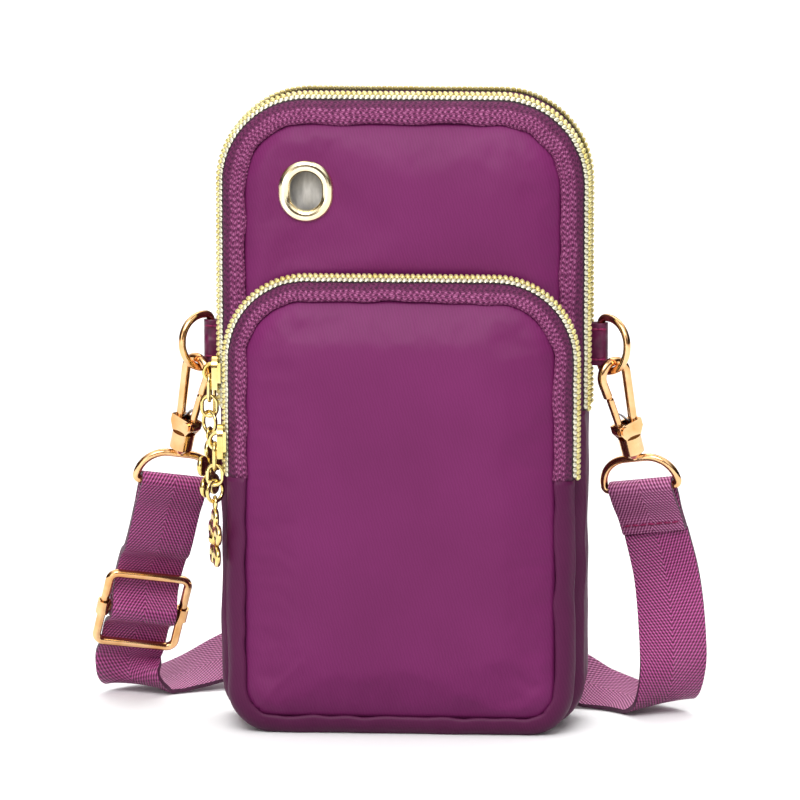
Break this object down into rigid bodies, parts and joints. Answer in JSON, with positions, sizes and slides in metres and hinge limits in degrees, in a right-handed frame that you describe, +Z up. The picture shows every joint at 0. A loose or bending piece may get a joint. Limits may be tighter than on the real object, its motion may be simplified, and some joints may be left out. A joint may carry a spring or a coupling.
{
  "type": "phone pouch",
  "caption": "Upright crossbody phone pouch of purple nylon with arched zips, an earphone port, swivel snap hooks and an adjustable webbing strap.",
  "frame": {"origin": "on the floor, under the middle of the main compartment's flat base", "axes": "+Z up, -Y out of the front pocket, +X to the right as seen from the front"},
  "size_m": [0.1761, 0.1775, 0.1789],
  "materials": {
    "nylon_twill": "purple nylon twill",
    "zip_tape": "purple woven zip tape",
    "lining": "grey satin lining",
    "webbing": "purple herringbone webbing",
    "ribbon": "dark purple ribbon",
    "gold_metal": "polished pale gold plate",
    "zip_teeth": "gold nylon coil",
    "spring_steel": "spring steel"
  },
  "bodies": {
    "pouch": {"main_gusset": "nylon_twill", "main_tape_fixed": "zip_tape", "main_teeth_fixed": "zip_teeth", "rear_gusset": "nylon_twill", "rear_tape_fixed": "zip_tape", "rear_teeth_fixed": "zip_teeth", "pocket_gusset": "nylon_twill", "pocket_tape_fixed": "zip_tape", "pocket_teeth_fixed": "zip_teeth", "middle_panel": "lining", "back_panel_lower": "nylon_twill", "pocket_panel_lower": "nylon_twill", "front_panel_lower": "nylon_twill", "left_tab": "ribbon", "right_tab": "ribbon", "left_eye": "gold_metal", "right_eye": "gold_metal", "strap_end_loop": "webbing", "strap_adjust_loop": "webbing", "strap_right_run": "webbing", "strap_left_run": "webbing", "strap_folds": "webbing"},
    "main_leaf": {"front_panel_upper": "nylon_twill", "main_tape_leaf": "zip_tape", "main_teeth_leaf": "zip_teeth", "eyelet_ring": "gold_metal", "eyelet_washer": "gold_metal"},
    "rear_leaf": {"back_panel_upper": "nylon_twill", "rear_tape_leaf": "zip_tape", "rear_teeth_leaf": "zip_teeth"},
    "pocket_leaf": {"pocket_panel_upper": "nylon_twill", "pocket_tape_leaf": "zip_tape", "pocket_teeth_leaf": "zip_teeth"},
    "rear_slider": {"rear_zip_slider": "gold_metal"},
    "rear_pull": {"rear_pull_tab": "gold_metal"},
    "strap_bar": {"strap_slider_bar": "gold_metal"},
    "strap_frame": {"strap_slider_frame": "gold_metal"},
    "main_slider": {"main_zip_slider": "gold_metal"},
    "main_pull": {"main_pull_link": "gold_metal"},
    "main_chain": {"main_chain_link": "gold_metal"},
    "main_ring": {"main_jump_ring": "gold_metal"},
    "main_charm": {"main_flower": "gold_metal"},
    "pocket_slider": {"pocket_zip_slider": "gold_metal"},
    "pocket_pull": {"pocket_pull_link": "gold_metal"},
    "pocket_chain": {"pocket_chain_link": "gold_metal"},
    "pocket_ring": {"pocket_jump_ring": "gold_metal"},
    "pocket_charm": {"pocket_flower": "gold_metal"},
    "left_ring": {"left_d_ring": "gold_metal"},
    "left_hook": {"left_hook_body": "gold_metal", "left_gate_rivet": "gold_metal", "left_gate_spring": "spring_steel"},
    "left_gate": {"left_gate": "gold_metal"},
    "right_ring": {"right_d_ring": "gold_metal"},
    "right_hook": {"right_hook_body": "gold_metal", "right_gate_rivet": "gold_metal", "right_gate_spring": "spring_steel"},
    "right_gate": {"right_gate": "gold_metal"}
  },
  "joints": [
    {"name": "main_leaf_fold", "type": "hinge", "parent": "pouch", "child": "main_leaf", "pos_m": [0, -0.0105, 0.13], "axis": [1, 0, 0], "range_deg": [0, 40]},
    {"name": "rear_leaf_fold", "type": "hinge", "parent": "pouch", "child": "rear_leaf", "pos_m": [0, 0.0215, 0.13], "axis": [-1, 0, 0], "range_deg": [0, 40]},
    {"name": "pocket_leaf_fold", "type": "hinge", "parent": "pouch", "child": "pocket_leaf", "pos_m": [0, -0.0215, 0.104], "axis": [1, 0, 0], "range_deg": [0, 40]},
    {"name": "main_zip_travel", "type": "slide", "parent": "pouch", "child": "main_slider", "axis": [0, 0, 1], "range_m": [-0.0045, 0.014]},
    {"name": "main_pull_swing", "type": "hinge", "parent": "main_slider", "child": "main_pull", "pos_m": [-0.05465, -0.0035, 0.09963], "axis": [0, 1, 0], "range_deg": [0, 40]},
    {"name": "main_chain_swing", "type": "hinge", "parent": "main_pull", "child": "main_chain", "pos_m": [-0.05465, -0.0035, 0.09213], "axis": [0, 1, 0], "range_deg": [0, 30]},
    {"name": "main_ring_swing", "type": "hinge", "parent": "main_chain", "child": "main_ring", "pos_m": [-0.05465, -0.0035, 0.08778], "axis": [1, 0, 0], "range_deg": [-18, 5]},
    {"name": "main_charm_swing", "type": "hinge", "parent": "main_ring", "child": "main_charm", "pos_m": [-0.05465, -0.0035, 0.08303], "axis": [0.6428, -0.766, 0], "range_deg": [-8, 8]},
    {"name": "pocket_zip_travel", "type": "slide", "parent": "pouch", "child": "pocket_slider", "axis": [0, 0, 1], "range_m": [-0.0045, 0.014]},
    {"name": "pocket_pull_swing", "type": "hinge", "parent": "pocket_slider", "child": "pocket_pull", "pos_m": [-0.05215, -0.0145, 0.08173], "axis": [0, 1, 0], "range_deg": [0, 40]},
    {"name": "pocket_chain_swing", "type": "hinge", "parent": "pocket_pull", "child": "pocket_chain", "pos_m": [-0.05215, -0.0145, 0.07423], "axis": [0, 1, 0], "range_deg": [0, 30]},
    {"name": "pocket_ring_swing", "type": "hinge", "parent": "pocket_chain", "child": "pocket_ring", "pos_m": [-0.05215, -0.0145, 0.06988], "axis": [1, 0, 0], "range_deg": [-18, 5]},
    {"name": "pocket_charm_swing", "type": "hinge", "parent": "pocket_ring", "child": "pocket_charm", "pos_m": [-0.05215, -0.0145, 0.06513], "axis": [0.6428, 0.766, 0], "range_deg": [-8, 8]},
    {"name": "rear_zip_travel", "type": "slide", "parent": "pouch", "child": "rear_slider", "axis": [0, 0, 1], "range_m": [-0.0045, 0.022]},
    {"name": "rear_pull_swing", "type": "hinge", "parent": "rear_slider", "child": "rear_pull", "pos_m": [-0.05465, 0.0135, 0.09963], "axis": [0, 1, 0], "range_deg": [0, 40]},
    {"name": "left_ring_turn", "type": "hinge", "parent": "pouch", "child": "left_ring", "pos_m": [-0.055, 0.006, 0.108], "axis": [0, 0, 1], "range_deg": [-5, 4]},
    {"name": "left_hook_swivel", "type": "hinge", "parent": "pouch", "child": "left_hook", "pos_m": [-0.05852, 0.00304, 0.1007], "axis": [0.2199, -0.2619, 0.9397], "range_deg": [-10, 10]},
    {"name": "left_gate_press", "type": "hinge", "parent": "left_hook", "child": "left_gate", "pos_m": [-0.06065, 0.00626, 0.08337], "axis": [-0.6415, -0.7645, -0.0629], "range_deg": [0, 15], "stiffness_Nm_per_rad": 0.01, "springref_deg": -17.19, "deforming": ["left_gate_spring"]},
    {"name": "right_ring_turn", "type": "hinge", "parent": "pouch", "child": "right_ring", "pos_m": [0.055, 0.006, 0.108], "axis": [0, 0, -1], "range_deg": [-5, 4]},
    {"name": "right_hook_swivel", "type": "hinge", "parent": "pouch", "child": "right_hook", "pos_m": [0.05852, 0.00304, 0.1007], "axis": [0.2199, 0.2619, -0.9397], "range_deg": [-10, 10]},
    {"name": "right_gate_press", "type": "hinge", "parent": "right_hook", "child": "right_gate", "pos_m": [0.06065, 0.00626, 0.08337], "axis": [-0.6415, 0.7645, 0.0629], "range_deg": [0, 15], "stiffness_Nm_per_rad": 0.01, "springref_deg": -17.19, "deforming": ["right_gate_spring"]},
    {"name": "strap_slider_travel", "type": "slide", "parent": "pouch", "child": "strap_bar", "axis": [-0.2439, 0.3596, -0.9007], "range_m": [-0.016, 0.003], "deforming": ["strap_adjust_loop", "strap_left_run"]},
    {"name": "strap_frame_travel", "type": "slide", "parent": "strap_bar", "child": "strap_frame", "axis": [-0.2439, 0.3596, -0.9007], "range_m": [-0.004, 0.004], "deforming": ["strap_adjust_loop", "strap_left_run"]}
  ]
}
